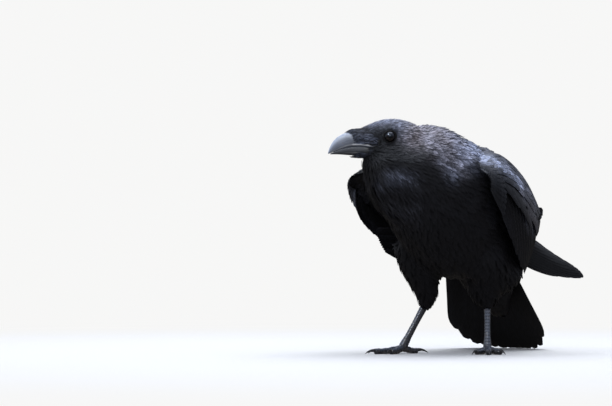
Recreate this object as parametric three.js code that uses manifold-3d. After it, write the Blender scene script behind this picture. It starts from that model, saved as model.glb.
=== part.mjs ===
// A common raven, Corvus corax, life size: it stands on both feet with its body leaning
// forward, its head turned to its right, its wings loose and its tail down to the floor.
//
// Millimetres. The body faces -Y, its left side is +X and +Z is up. The solids give the outer
// surface of the plumage. The origin is on the floor, below the middle of the whole bird.

import * as THREE from "three";
import { mergeVertices } from "three/addons/utils/BufferGeometryUtils.js";
import Module from "manifold-3d";

const wasm = await Module();
wasm.setup();

// ---------------------------------------------------------------- driving dimensions

const GAP = 0.3; // clearance between solids that touch

const HEAD_AT = new THREE.Vector3(-40, -125, 300); // between the eyes
const HEAD_TURN = -58; // degrees to the bird's right
const EYE_RADIUS = 8.4;
const EYE_AT = new THREE.Vector3(18.8, -8.3, 0.6); // left eye, in the head's own frame

const TAIL_ROOT = new THREE.Vector3(-9, 92, 160);
const TAIL_LENGTH = 236;
const TAIL_ROOT_HALF = 36; // half the tail's width at its root
const TAIL_FAN = 11; // degrees each side of the tail's middle
const TAIL_DROP = 43; // degrees below the horizontal
const TAIL_YAW = 4.4; // degrees to the bird's right
const TAIL_ROLL = 6; // degrees, its left edge the lower one

const TARSUS_HEIGHT = 58; // heel above the foot's joint
const FEET = {
  left: { at: [46, 8], heading: 22, lean: 20, mirror: 1 },
  right: { at: [-68, -27], heading: -32, lean: 38, mirror: -1 },
};

const WING_TIP = new THREE.Vector3(70, 340, 101); // left wing; the right one mirrors it
const WINGS = {
  left: { mirror: 1, spread: 0, droop: 26 },
  right: { mirror: -1, spread: 6.5, droop: -2 },
};

// ---------------------------------------------------------------- materials

const finish = (color, roughness, metalness = 0) =>
  new THREE.MeshStandardMaterial({ color, roughness, metalness });
const plumage = finish(0x15161b, 0.55);
const flightFeather = finish(0x101116, 0.45);
const horn = finish(0x3a4048, 0.35);
const scutes = finish(0x33363d, 0.5);
const clawHorn = finish(0x1b1c20, 0.3);
const eyeball = finish(0x120c08, 0.05);

// ---------------------------------------------------------------- making closed bodies

const vec = (x, y, z) => new THREE.Vector3(x, y, z);
const degrees = THREE.MathUtils.degToRad;
const UP = vec(0, 0, 1);
const FORWARD = vec(0, -1, 0);

function bodyOf(points, faces) {
  const geometry = new THREE.BufferGeometry();
  geometry.setAttribute(
    "position",
    new THREE.Float32BufferAttribute(points.flatMap((p) => [p.x, p.y, p.z]), 3),
  );
  const volume = faces.reduce(
    (sum, [a, b, c]) => sum + points[a].dot(points[b].clone().cross(points[c])),
    0,
  );
  geometry.setIndex(faces.flatMap(([a, b, c]) => (volume > 0 ? [a, b, c] : [a, c, b])));
  return geometry;
}

// A closed body round a spine. Each station is [x, y, z, side, up, down]: a point of the spine
// and the half sizes of the oval there. grow makes the whole body fatter, for cutting others.
// squareUp and squareDown above 2 flatten the upper or lower half of the oval.
function loft(stations, options = {}) {
  const { rings = 16, sides = 20, grow = 0, reference = UP } = options;
  const { squareUp = 2, squareDown = 2 } = options;
  const spine = new THREE.CatmullRomCurve3(stations.map((s) => vec(s[0], s[1], s[2])));
  const sizes = new THREE.CatmullRomCurve3(stations.map((s) => vec(s[3], s[4], s[5])));
  const points = [];
  for (let ring = 0; ring <= rings; ring++) {
    const t = ring / rings;
    const centre = spine.getPoint(t);
    const ahead = spine.getTangent(t);
    const across = ahead.clone().cross(reference).normalize();
    const above = across.clone().cross(ahead);
    const size = sizes.getPoint(t);
    for (let k = 0; k < sides; k++) {
      const angle = (2 * Math.PI * k) / sides;
      const c = Math.cos(angle);
      const s = Math.sin(angle);
      const power = 2 / (s > 0 ? squareUp : squareDown);
      const wide = Math.sign(c) * Math.abs(c) ** power * (size.x + grow);
      const tall = Math.sign(s) * Math.abs(s) ** power * ((s > 0 ? size.y : size.z) + grow);
      points.push(centre.clone().addScaledVector(across, wide).addScaledVector(above, tall));
    }
  }
  const faces = [];
  for (let ring = 0; ring < rings; ring++)
    for (let k = 0; k < sides; k++) {
      const a = ring * sides + k;
      const b = ring * sides + ((k + 1) % sides);
      faces.push([a, b, b + sides], [a, b + sides, a + sides]);
    }
  const endCap = (t, firstOfRing, outward) => {
    const size = sizes.getPoint(t);
    const bulge = 0.45 * Math.min(size.x, size.y, size.z) + grow;
    points.push(spine.getPoint(t).addScaledVector(spine.getTangent(t), outward * bulge));
    const pole = points.length - 1;
    for (let k = 0; k < sides; k++) {
      const a = firstOfRing + k;
      const b = firstOfRing + ((k + 1) % sides);
      faces.push(outward > 0 ? [a, b, pole] : [b, a, pole]);
    }
  };
  endCap(0, 0, -1);
  endCap(1, rings * sides, 1);
  return bodyOf(points, faces);
}

// A closed plate on both sides of the surface middle(s, t), half(s, t) thick each way.
function plate(middle, half, along, across, tFrom = 0, tTo = 1) {
  const step = 1e-3;
  const outer = [];
  const inner = [];
  for (let i = 0; i <= along; i++)
    for (let j = 0; j <= across; j++) {
      const s = i / along;
      const t = tFrom + ((tTo - tFrom) * j) / across;
      const ds = middle(Math.min(1, s + step), t).sub(middle(Math.max(0, s - step), t));
      const dt = middle(s, t + step).sub(middle(s, t - step));
      const normal = ds.cross(dt).normalize();
      outer.push(middle(s, t).addScaledVector(normal, half(s, t)));
      inner.push(middle(s, t).addScaledVector(normal, -half(s, t)));
    }
  const points = [...outer, ...inner];
  const index = (i, j, side) => i * (across + 1) + j + side * outer.length;
  const faces = [];
  const quad = (a, b, c, d) => faces.push([a, b, c], [a, c, d]);
  for (let i = 0; i < along; i++)
    for (let j = 0; j < across; j++) {
      quad(index(i, j, 0), index(i + 1, j, 0), index(i + 1, j + 1, 0), index(i, j + 1, 0));
      quad(index(i, j, 1), index(i, j + 1, 1), index(i + 1, j + 1, 1), index(i + 1, j, 1));
    }
  for (let i = 0; i < along; i++) {
    quad(index(i, 0, 1), index(i + 1, 0, 1), index(i + 1, 0, 0), index(i, 0, 0));
    const j = across;
    quad(index(i, j, 0), index(i + 1, j, 0), index(i + 1, j, 1), index(i, j, 1));
  }
  for (let j = 0; j < across; j++) {
    quad(index(0, j, 0), index(0, j + 1, 0), index(0, j + 1, 1), index(0, j, 1));
    const i = along;
    quad(index(i, j, 1), index(i, j + 1, 1), index(i, j + 1, 0), index(i, j, 0));
  }
  return bodyOf(points, faces);
}

// ---------------------------------------------------------------- joining and cutting

function solid(geometry) {
  const bare = geometry.clone();
  bare.deleteAttribute("normal");
  bare.deleteAttribute("uv");
  const merged = mergeVertices(bare, 1e-4);
  return new wasm.Manifold(
    new wasm.Mesh({
      numProp: 3,
      vertProperties: new Float32Array(merged.attributes.position.array),
      triVerts: new Uint32Array(merged.index.array),
    }),
  );
}

const placed = (geometry, matrix) => {
  const moved = geometry.clone().applyMatrix4(matrix);
  if (matrix.determinant() < 0) {
    const order = moved.index.array;
    for (let i = 0; i < order.length; i += 3)
      [order[i + 1], order[i + 2]] = [order[i + 2], order[i + 1]];
  }
  return moved;
};

const ball = (centre, radii) =>
  solid(
    new THREE.SphereGeometry(1, 12, 8)
      .scale(radii.x, radii.y, radii.z)
      .translate(centre.x, centre.y, centre.z),
  );

// The largest piece of a solid that a cut may have left in several.
const largest = (cut) =>
  cut.decompose().reduce((best, piece) => (piece.volume() > best.volume() ? piece : best));

function meshOf(name, cut, material) {
  const { vertProperties, triVerts } = largest(cut).simplify(0.05).getMesh();
  const geometry = new THREE.BufferGeometry();
  geometry.setAttribute("position", new THREE.BufferAttribute(vertProperties, 3));
  geometry.setIndex(new THREE.BufferAttribute(triVerts, 1));
  geometry.computeVertexNormals();
  const mesh = new THREE.Mesh(geometry, material);
  mesh.name = name;
  return mesh;
}

const raven = new THREE.Group();

// ---------------------------------------------------------------- trunk, neck and head

// One body from the rump through the breast and the neck to the back of the head.
const bodyLoft = (grow = 0) =>
  solid(
    loft(
      [
        [-1, 124, 138, 24, 20, 24],
        [0, 100, 148, 46, 48, 43],
        [0, 58, 170, 67, 80, 74],
        [0, 12, 194, 78, 88, 96],
        [-2, -32, 222, 77, 82, 96],
        [-13, -66, 246, 70, 74, 86],
        [-29, -94, 262, 61, 65, 79],
        [-39, -114, 275, 51, 48, 74],
        [-44, -128, 287, 37, 33, 60],
        [-46, -138, 298, 22, 18, 34],
      ],
      { rings: 15, sides: 20, squareUp: 2.3, squareDown: 2.2, grow },
    ),
  );

const headFrame = new THREE.Matrix4()
  .makeRotationZ(degrees(HEAD_TURN))
  .setPosition(HEAD_AT);
const inHead = (geometry) => solid(placed(geometry, headFrame));

const headLoft = (grow = 0) =>
  inHead(
    loft(
      [
        [0, 38, -8, 18, 20, 24],
        [0, 24, -3, 25, 22.5, 30],
        [0, 8, 0, 27, 25.5, 33],
        [0, -8, 0, 25.5, 25.7, 33],
        [0, -22, -2, 21, 24, 28],
        [0, -34, -5, 16.5, 22, 24],
        [0, -44, -8, 13, 20, 20],
      ],
      { rings: 11, sides: 18, grow },
    ),
  );

// The shaggy feathers that hang from the chin, down the front of the neck.
const throatLoft = (grow = 0) =>
  inHead(
    loft(
      [
        [0, -27, -20, 14, 18, 14],
        [0, -26, -36, 19, 21, 19],
        [0, -18, -56, 25, 21, 25],
        [0, -9, -78, 29, 19, 27],
        [0, 7, -92, 24, 14, 22],
        [0, 26, -98, 14, 9, 12],
      ],
      { rings: 6, sides: 12, reference: FORWARD, grow },
    ),
  );

const upperBill = (grow = 0) =>
  loft(
    [
      [0, -22, -4, 16.5, 13.5, 14],
      [0, -33, -3, 14.6, 13, 12.6],
      [0, -45, -2.4, 11.4, 12, 11],
      [0, -56, -3, 9.6, 11.5, 10.4],
      [0, -64, -5, 8.4, 11.3, 9],
      [0, -72, -8.4, 6.6, 10.4, 7.6],
      [0, -79, -12.6, 4.6, 8.2, 6],
      [0, -85.5, -17.6, 2.4, 4.4, 3.4],
      [0, -90, -22, 0.8, 1, 0.9],
    ],
    { rings: 12, sides: 12, squareUp: 1.8, squareDown: 4, grow },
  );

const lowerBill = (grow = 0) =>
  loft(
    [
      [0, -20, -22.5, 15.6, 7, 5.5],
      [0, -33, -20, 13.2, 7, 6.2],
      [0, -45, -18.8, 9.8, 7, 6.6],
      [0, -56, -18.4, 7.4, 6, 6.4],
      [0, -67, -19, 5.4, 5, 5.2],
      [0, -77, -20.6, 3.4, 3, 3],
      [0, -84, -22.2, 1.5, 1.4, 1.3],
      [0, -87, -22.8, 0.8, 0.7, 0.7],
    ],
    { rings: 9, sides: 12, squareUp: 4, grow },
  );

const eyePlace = (mirror, extra = 0) =>
  EYE_AT.clone().multiply(vec(mirror, 1, 1)).add(vec(mirror * extra, 0, 0)).applyMatrix4(headFrame);
const eyeSolid = (mirror, grow = 0) =>
  ball(eyePlace(mirror), vec(1, 1, 1).multiplyScalar(EYE_RADIUS + grow));
const orbit = (mirror) => ball(eyePlace(mirror, 10.5), vec(8, 8, 8));

// The neck is parted from the head and from the trunk by two planes.
const headCut = { normal: vec(-0.42, -0.62, 0.66).normalize(), at: vec(-38, -112, 286) };
const neckCut = { normal: vec(-0.25, -0.83, 0.5).normalize(), at: vec(-8, -46, 246) };

// The part of a solid on the side of a plane that its normal points to, or on the other side.
const beyond = (cut, { normal, at }) =>
  cut.trimByPlane(normal.toArray(), normal.dot(at) + GAP / 2);
const before = (cut, { normal, at }) =>
  cut.trimByPlane(normal.clone().negate().toArray(), -normal.dot(at) + GAP / 2);

const flesh = (grow) => bodyLoft(grow).add(headLoft(grow)).add(throatLoft(grow));
const whole = flesh(0);
const fleshCutter = flesh(GAP);

const billUpper = inHead(upperBill());
const billLower = inHead(lowerBill()).subtract(inHead(upperBill(GAP)));
const billCutter = inHead(upperBill(GAP)).add(inHead(lowerBill(GAP)));

// The bill's root is a plain end just inside the face.
const billEnd = (depth) => ({
  normal: vec(0, -1, 0).transformDirection(headFrame),
  at: vec(0, -depth, -6).applyMatrix4(headFrame),
});
const billRoot = billEnd(24);
const billSocket = billEnd(24 - GAP);

const head = [1, -1].reduce(
  (cut, mirror) => cut.subtract(orbit(mirror)).subtract(eyeSolid(mirror, GAP)),
  beyond(whole, headCut).subtract(beyond(billCutter, billSocket)),
);

raven.add(meshOf("head", head, plumage));
raven.add(meshOf("bill_upper", beyond(billUpper, billRoot), horn));
raven.add(meshOf("bill_lower", beyond(billLower, billRoot), horn));
raven.add(meshOf("eye_left", eyeSolid(1), eyeball));
raven.add(meshOf("eye_right", eyeSolid(-1), eyeball));
raven.add(meshOf("neck", beyond(before(whole, headCut), neckCut), plumage));

// ---------------------------------------------------------------- tail

const tailFrame = new THREE.Matrix4().makeRotationFromEuler(
  new THREE.Euler(degrees(-TAIL_DROP), degrees(TAIL_ROLL), degrees(TAIL_YAW), "ZXY"),
);
tailFrame.setPosition(TAIL_ROOT);

// The feathers fan out from the root, the middle pair longest, and the fan is a low roof.
const tailStart = 16;
const tailRoof = 9;
function tailPoint(s, t) {
  const share = 2 * s - 1;
  const angle = degrees(TAIL_FAN) * share;
  const reach = TAIL_LENGTH * (1 - 0.09 * share ** 2 - 0.2 * share ** 6);
  const radius = tailStart + (reach - tailStart) * t;
  return vec(
    radius * Math.sin(angle) + TAIL_ROOT_HALF * share,
    radius * Math.cos(angle),
    -tailRoof * share ** 2 * (0.25 + 0.75 * t),
  );
}
const tailPlate = (grow = 0) =>
  solid(
    placed(
      plate(
        (s, t) => tailPoint(0.5 + (s - 0.5) * (1 + 0.02 * grow), t),
        (s, t) => 2.6 - 1.9 * t + grow,
        16, 5, -0.005 * grow, 1,
      ),
      tailFrame,
    ),
  );

// Soft feathers that hang below the tail's root, from the vent to past the tail's middle.
const coverts = (grow = 0) =>
  solid(loft(
  [
    [4, 66, 138, 44, 30, 34],
    [3, 98, 118, 43, 34, 30],
    [2, 128, 94, 35, 30, 24],
    [2, 154, 70, 23, 24, 16],
    [3, 172, 52, 11, 12, 8],
  ],
  { rings: 7, sides: 12, grow },
));

// ---------------------------------------------------------------- wings

// Each wing is a plate hung from the back: its root lies along the shoulder feathers, its
// shoulder line stands out furthest, and its hem runs from the wrist down to the tips of the
// secondaries and back up to the innermost feather. s runs from front to rear.
const row = (...points) => new THREE.CatmullRomCurve3(points.map((p) => vec(...p)));
const wingRoot = row([38, -54, 268], [36, -8, 284], [42, 50, 269], [47, 104, 239], [58, 160, 201]);
const wingShoulder = row(
  [76, -66, 252], [88, -18, 242], [93, 42, 216], [82, 102, 199], [62, 168, 196],
);
const wingHem = row([84, -62, 228], [95, -22, 178], [88, 42, 143], [68, 100, 162], [60, 166, 190]);

function wingPoint({ spread, droop }) {
  const swing = new THREE.Matrix4().makeRotationZ(degrees(spread));
  return (s, t) => {
    const hem = wingHem.getPoint(s);
    hem.z -= droop * Math.sin(Math.PI * s);
    const [outer, lower] = [wingShoulder.getPoint(s), hem].map((p) =>
      p.sub(WING_TIP).applyMatrix4(swing).add(WING_TIP),
    );
    const root = wingRoot.getPoint(s);
    return root
      .multiplyScalar(2 * (t - 0.5) * (t - 1))
      .addScaledVector(outer, 4 * t * (1 - t))
      .addScaledVector(lower, 2 * t * (t - 0.5));
  };
}
const wingHalf = (s, t) =>
  (8.5 - 6.8 * t ** 1.5) * (1 - 0.8 * s ** 1.5) * Math.sqrt(1 - (1 - Math.min(1, 8 * s)) ** 2) + 0.4;

// The long outer feathers, folded below the others, are a blade from the hand to the tip.
const bladeTop = row([79, 0, 182], [65, 112, 164], [57, 222, 143], [68, 336, 107]);
const bladeHem = row([80, 14, 146], [73, 97, 127], [71, 200, 113], [70, 341, 99]);
function bladePoint({ spread }) {
  const swing = new THREE.Matrix4().makeRotationZ(degrees(spread));
  return (s, t) => {
    const bulge = 5 * Math.sin(Math.PI * t) * (1 - s);
    const point = bladeTop.getPoint(s).lerp(bladeHem.getPoint(s), t).add(vec(bulge, 0, 0));
    return point.sub(WING_TIP).applyMatrix4(swing).add(WING_TIP);
  };
}
const bladeHalf = (s, t) => 0.5 + 2.2 * (1 - s) * Math.sin(Math.PI * (0.15 + 0.7 * t));

const COVERTS_SHARE = 0.68; // share of the wing's depth that the soft covering feathers take
const CUT_SHARE = 0.004; // the cut between them and the secondaries, in the same measure

function wing(name, pose) {
  const side = new THREE.Matrix4().makeScale(pose.mirror, 1, 1);
  const part = (from, to, grow, across) =>
    solid(
      placed(
        plate(wingPoint(pose), (s, t) => wingHalf(s, t) + grow, 12, across, from, to),
        side,
      ),
    );
  const bladePart = (grow, from, to) =>
    solid(
      placed(
        plate(bladePoint(pose), (s, t) => bladeHalf(s, t) + grow, 10, 3, from, to),
        side,
      ),
    );
  const blade = bladePart(0, 0, 1);
  const arm = part(0, COVERTS_SHARE, 0, 7).subtract(fleshCutter);
  const secondaries = part(COVERTS_SHARE + CUT_SHARE, 1, 0, 4)
    .subtract(fleshCutter)
    .subtract(part(0, COVERTS_SHARE + CUT_SHARE / 2, GAP, 7));
  const cutter = part(0, 1.004, GAP, 11);
  raven.add(meshOf(name, arm, plumage));
  raven.add(meshOf(`${name}_secondaries`, secondaries, flightFeather));
  raven.add(
    meshOf(`${name}_primaries`, blade.subtract(cutter).subtract(fleshCutter), flightFeather),
  );
  return cutter.add(bladePart(GAP, -0.01, 1.01));
}

// ---------------------------------------------------------------- legs

const FOOT_JOINT = 8.5; // height of the toes' common joint
const TOES = {
  // length, degrees from straight ahead towards the outer side, claw length
  1: [25, 178, 20],
  2: [33, -27, 15],
  3: [45, 2, 17],
  4: [34, 31, 14],
};

function tarsusLoft(lean, grow = 0) {
  const heel = vec(0, lean, TARSUS_HEIGHT + FOOT_JOINT);
  const along = (share, side, depth) => [
    0, heel.y * share, FOOT_JOINT + TARSUS_HEIGHT * share, side, depth, depth,
  ];
  return loft(
    [
      along(-0.04, 5.4, 5.8),
      along(0.08, 5.6, 6.2),
      along(0.22, 4.1, 5),
      along(0.6, 3.8, 4.6),
      along(0.86, 4.4, 5.2),
      along(1.03, 4.9, 5.6),
    ],
    { rings: 7, sides: 8, reference: FORWARD, grow },
  );
}

// A toe lies along local -Y. Its knuckles are slightly thicker, and a pad is under each.
function toeLoft(length, grow = 0) {
  const knuckles = 3;
  const stations = [];
  for (let k = 0; k <= 2 * knuckles; k++) {
    const share = k / (2 * knuckles);
    const thick = 4.7 - 1.0 * share + (k % 2 ? -0.4 : 0.35);
    const height = FOOT_JOINT - 1.5 - 3.4 * Math.min(1, 1.6 * share);
    stations.push([0, -4 - (length - 4) * share, height, thick * 0.92, thick, thick]);
  }
  return loft(stations, { rings: 6, sides: 7, grow });
}

function clawLoft(length, from) {
  const stations = [];
  const steps = 5;
  for (let k = 0; k <= steps; k++) {
    const share = k / steps;
    const thick = 2.5 * (1 - share) ** 0.8 + 0.3;
    const height = 4.3 + 2.1 * Math.sin(Math.PI * share * 0.75) - 4.9 * share ** 2;
    stations.push([0, -from + 2 - (length + 2) * share, height, thick * 0.75, thick, thick]);
  }
  return loft(stations, { rings: 4, sides: 6 });
}

const FLOOR = { normal: vec(0, 0, 1), at: vec(0, 0, -GAP / 2) };

function leg(name, { at, heading, lean, mirror }, wingCutter, shankStations) {
  const place = new THREE.Matrix4().makeRotationZ(degrees(heading)).setPosition(vec(...at, 0));
  const inFoot = (geometry, turn) =>
    solid(
      placed(
        geometry,
        place.clone().multiply(new THREE.Matrix4().makeRotationZ(degrees(turn * mirror))),
      ),
    );
  const heel = vec(0, lean, TARSUS_HEIGHT + FOOT_JOINT).applyMatrix4(place);
  const tarsus = inFoot(tarsusLoft(lean), 0);
  const tarsusCutter = inFoot(tarsusLoft(lean, GAP), 0);

  const shank = solid(
    loft([...shankStations, [heel.x, heel.y, heel.z - 4, 8, 9, 9]], {
      rings: 8,
      sides: 14,
      reference: FORWARD,
      squareUp: 2.2,
      squareDown: 2.5,
    }),
  );
  const cutters = [tarsusCutter, fleshCutter, wingCutter, tailCutter, coverts(GAP)];
  raven.add(
    meshOf(`shank_${name}`, cutters.reduce((cut, cutter) => cut.subtract(cutter), shank), plumage),
  );
  raven.add(meshOf(`tarsus_${name}`, beyond(tarsus, FLOOR), scutes));

  // The middle toe is whole, and the others end against it.
  let taken = tarsusCutter;
  for (const number of [3, 1, 2, 4]) {
    const [length, turn, claw] = TOES[number];
    const toe = inFoot(toeLoft(length), turn).subtract(taken);
    const clawSolid = inFoot(clawLoft(claw, length), turn).subtract(
      inFoot(toeLoft(length, GAP), turn),
    );
    raven.add(meshOf(`toe_${name}_${number}`, beyond(toe, FLOOR), scutes));
    raven.add(meshOf(`claw_${name}_${number}`, beyond(clawSolid, FLOOR), clawHorn));
    taken = taken.add(inFoot(toeLoft(length, GAP), turn));
  }
}

// ---------------------------------------------------------------- assembly

const tail = tailPlate();
const tailCutter = tailPlate(GAP);
const belowTail = {
  normal: vec(0, 0, -1).transformDirection(tailFrame),
  at: vec(0, 0, -1).applyMatrix4(tailFrame),
};
raven.add(meshOf("trunk", before(whole, neckCut).subtract(tailCutter), plumage));
raven.add(meshOf("tail", beyond(tail, FLOOR), flightFeather));
raven.add(
  meshOf(
    "tail_coverts",
    beyond(coverts(), belowTail).subtract(tailCutter).subtract(fleshCutter),
    plumage,
  ),
);
const leftWing = wing("wing_left", WINGS.left);
const rightWing = wing("wing_right", WINGS.right);
leg("left", FEET.left, leftWing, [
  [42, 2, 164, 34, 42, 46],
  [44, 14, 134, 40, 46, 56],
  [43, 21, 110, 38, 38, 49],
  [37, 22, 90, 27, 24, 29],
  [39, 25, 73, 14, 13, 14],
]);
leg("right", FEET.right, rightWing, [
  [-47, -20, 158, 37, 40, 36],
  [-46, -14, 128, 31, 34, 32],
  [-44, -5, 102, 22, 23, 21],
  [-43, 1, 84, 16, 15, 14],
]);

// The origin moves to the floor below the middle of the bird.
const reach = new THREE.Box3().setFromObject(raven);
const middle = reach.getCenter(vec(0, 0, 0));
raven.position.set(-middle.x, -middle.y, -reach.min.z);

export default raven;
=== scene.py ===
# A common raven, life size, standing as a museum model: skin, plumage, bill, eyes and feet.
import math
from functools import partialmethod

import bpy
import numpy as np
from mathutils import Matrix, Vector, noise
from mathutils.bvhtree import BVHTree
from mathutils.kdtree import KDTree


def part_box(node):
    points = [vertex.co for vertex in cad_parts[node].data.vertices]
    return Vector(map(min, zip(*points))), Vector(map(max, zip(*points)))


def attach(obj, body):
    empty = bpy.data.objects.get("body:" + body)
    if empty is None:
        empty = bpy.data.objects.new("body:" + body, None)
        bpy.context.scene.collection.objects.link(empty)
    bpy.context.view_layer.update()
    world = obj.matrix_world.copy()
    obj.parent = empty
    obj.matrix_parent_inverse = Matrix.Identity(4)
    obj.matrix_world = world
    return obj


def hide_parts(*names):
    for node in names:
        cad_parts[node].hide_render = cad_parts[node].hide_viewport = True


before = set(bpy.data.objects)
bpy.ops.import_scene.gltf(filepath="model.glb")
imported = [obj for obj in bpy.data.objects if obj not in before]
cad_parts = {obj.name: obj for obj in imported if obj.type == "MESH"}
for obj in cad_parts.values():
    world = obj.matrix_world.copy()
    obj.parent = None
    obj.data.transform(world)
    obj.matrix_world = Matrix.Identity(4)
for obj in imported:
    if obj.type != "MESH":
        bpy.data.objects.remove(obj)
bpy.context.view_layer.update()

# ------------------------------------------------------------------ studio
# The bird stands on a plain pale floor in front of nothing: the floor turns into the pale
# background a metre or so away. Places are in millimetres from the point on the floor between
# its feet, with its breast towards -Y and its left towards +X. The middle of the left eye ties
# them to the frame.
EYE_LEFT_AT = (-37.076, -145.342, 300.6)
eye_low, eye_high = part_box("eye_left")
zero = np.array((eye_low + eye_high) / 2) - np.array(EYE_LEFT_AT) / 1000


def at(*place):
    return np.asarray(place, float).reshape(-1, 3) / 1000 + zero


class Socket:
    """A shader value with the arithmetic that the finishes below are written in."""

    def __init__(self, tree, socket):
        self.tree = tree
        self.socket = socket

    def node(self, kind, inputs=None, output=0, **settings):
        made = self.tree.nodes.new(kind)
        for key, value in settings.items():
            setattr(made, key, value)
        for key, value in (inputs or {}).items():
            if isinstance(value, Socket):
                self.tree.links.new(value.socket, made.inputs[key])
            elif value is not None:
                made.inputs[key].default_value = value
        return Socket(self.tree, made.outputs[output])

    def maths(self, operation, *others, clamp=False):
        inputs = dict(enumerate((self, *others)))
        return self.node("ShaderNodeMath", inputs, operation=operation, use_clamp=clamp)

    def __rsub__(self, other):
        return self.maths("MULTIPLY_ADD", -1.0, other)

    __add__ = __radd__ = partialmethod(maths, "ADD")
    __sub__ = partialmethod(maths, "SUBTRACT")
    __mul__ = __rmul__ = partialmethod(maths, "MULTIPLY")
    size = partialmethod(maths, "ABSOLUTE")
    wave = partialmethod(maths, "SINE")
    clamp = partialmethod(maths, "ADD", 0.0, clamp=True)

    def between(self, low, high):
        """0 where this is at low, 1 where it is at high, and smooth in between."""
        ramp = {0: self, 1: low, 2: high, 3: 0.0, 4: 1.0}
        return self.node("ShaderNodeMapRange", ramp, interpolation_type="SMOOTHSTEP")

    def blend(self, first, second):
        """A colour that goes from the first to the second as this goes from 0 to 1."""
        colours = [c if isinstance(c, Socket) else (*c, 1) for c in (first, second)]
        inputs = {0: self, 6: colours[0], 7: colours[1]}
        return self.node("ShaderNodeMix", inputs, output=2, data_type="RGBA")

    def noise(self, scale, detail=3.0, roughness=0.5):
        """Soft random mottling over this place."""
        inputs = {"Vector": self, "Scale": scale, "Detail": detail, "Roughness": roughness}
        return self.node("ShaderNodeTexNoise", inputs)

    def stretched(self, x, y, z):
        inputs = {0: self, 1: (x, y, z)}
        return self.node("ShaderNodeVectorMath", inputs, operation="MULTIPLY")

    def part(self, axis):
        return self.node("ShaderNodeSeparateXYZ", {0: self}, output=axis)

    def held(self, name, output="Vector"):
        """What the mesh holds at each of its vertices under this name."""
        return self.node("ShaderNodeAttribute", output=output, attribute_name=name)


def finish(name, **constants):
    """A new material: its shader, its tree as a starting socket, and where its surface is."""
    material = bpy.data.materials.new(name)
    material.use_nodes = True
    tree = material.node_tree
    shader = tree.nodes["Principled BSDF"]
    for key, value in constants.items():
        shader.inputs[key.replace("_", " ").title().replace("Ior", "IOR")].default_value = value
    place = Socket(tree, None).node("ShaderNodeTexCoord", output="Object")
    return material, shader, place


def feed(shader, **values):
    for key, value in values.items():
        value.tree.links.new(value.socket, shader.inputs[key.replace("_", " ").title()])


def relief(height, depth, strength=1.0):
    """The normal of a surface whose height varies by depth metres."""
    inputs = {"Height": height, "Distance": depth, "Strength": strength}
    return height.node("ShaderNodeBump", inputs)


def only(*objects):
    """These objects are the only selected ones, and the first is active."""
    bpy.ops.object.select_all(action="DESELECT")
    for one in objects:
        one.select_set(True)
    bpy.context.view_layer.objects.active = objects[0]


only(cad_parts["trunk"])
middle = zero * (1, 1, 0)
bpy.ops.mesh.primitive_circle_add(vertices=96, radius=14, fill_type="NGON", location=middle)
floor = bpy.context.object
floor.name = "floor"
bpy.ops.object.transform_apply(location=True)
paper, shader, place = finish("floor_paper", roughness=0.9)
shader.inputs["Base Color"].default_value = (0.8, 0.8, 0.79, 1)
away = place.node("ShaderNodeVectorMath", {0: place, 1: tuple(middle)}, 1, operation="DISTANCE")
seen = place.node("ShaderNodeLightPath", output="Is Camera Ray")
mirrored = place.node("ShaderNodeLightPath", output="Is Glossy Ray")
shown = mirrored.blend((0.93, 0.93, 0.925), (0.13, 0.12, 0.11))
pale = place.node("ShaderNodeEmission", {"Color": shown, "Strength": 1.0})
share = (away.between(0.45, 1.6) * seen + mirrored).clamp()
surface = Socket(place.tree, shader.outputs[0])
mixed = place.node("ShaderNodeMixShader", {0: share, 1: surface, 2: pale})
place.tree.links.new(mixed.socket, place.tree.nodes["Material Output"].inputs["Surface"])
floor.data.materials.append(paper)

world = bpy.data.worlds.new("studio")
bpy.context.scene.world = world
world.use_nodes = True
background = world.node_tree.nodes["Background"]
sky = Socket(world.node_tree, background.outputs[0])
seen = sky.node("ShaderNodeLightPath", output="Is Camera Ray")
sheer = sky.node("ShaderNodeLightPath", output="Is Transmission Ray")
way = sky.node("ShaderNodeTexCoord", output="Generated")
open_sky = way.part("Z").between(-0.2, 0.9).blend((0.13, 0.13, 0.14), (0.62, 0.68, 0.82))
colour = (seen + sheer).clamp().blend(open_sky, (0.93, 0.93, 0.925))
world.node_tree.links.new(colour.socket, background.inputs["Color"])


def lamp(name, place, target, width, power, tint):
    bpy.ops.object.light_add(type="AREA", location=at(*place)[0])
    light = bpy.context.object
    light.name = name
    light.data.size = width
    light.data.energy = power
    light.data.color = tint
    way = Vector(at(*target)[0]) - light.location
    light.rotation_euler = way.to_track_quat("-Z", "Y").to_euler()


lamp("overhead", (-200, 500, 2300), (0, 0, 200), 2.4, 46, (0.97, 0.98, 1))
lamp("key", (900, -2300, 1500), (0, 0, 150), 1.6, 17, (1, 0.99, 0.97))
lamp("side", (-2300, -900, 900), (0, 0, 150), 1.6, 8, (1, 1, 1))
lamp("spark", (-422, -1635, 2138), (-36, -145, 300), 0.7, 42, (0.95, 0.98, 1))
bpy.context.object.visible_diffuse = False

# The camera stands 4.76 m away, nearly level with the bird and round to its left, and it aims
# beside the point between the feet and above it.
turn, rise, distance = math.radians(24.5), math.radians(-0.6), 4.76
level = math.cos(rise)
towards = Vector((math.sin(turn) * level, -math.cos(turn) * level, math.sin(rise)))
aside = Vector((math.cos(turn), math.sin(turn), 0))
above = towards.cross(aside)
aim = Vector(zero) + aside * -0.2082 + above * 0.2111
bpy.ops.object.camera_add(location=aim + towards * distance)
camera = bpy.context.object
camera.rotation_euler = (-towards).to_track_quat("-Z", "Y").to_euler()
camera.data.lens = 200
camera.data.sensor_width = 36
bpy.context.scene.camera = camera
bpy.context.scene.view_settings.view_transform = "Standard"

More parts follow.
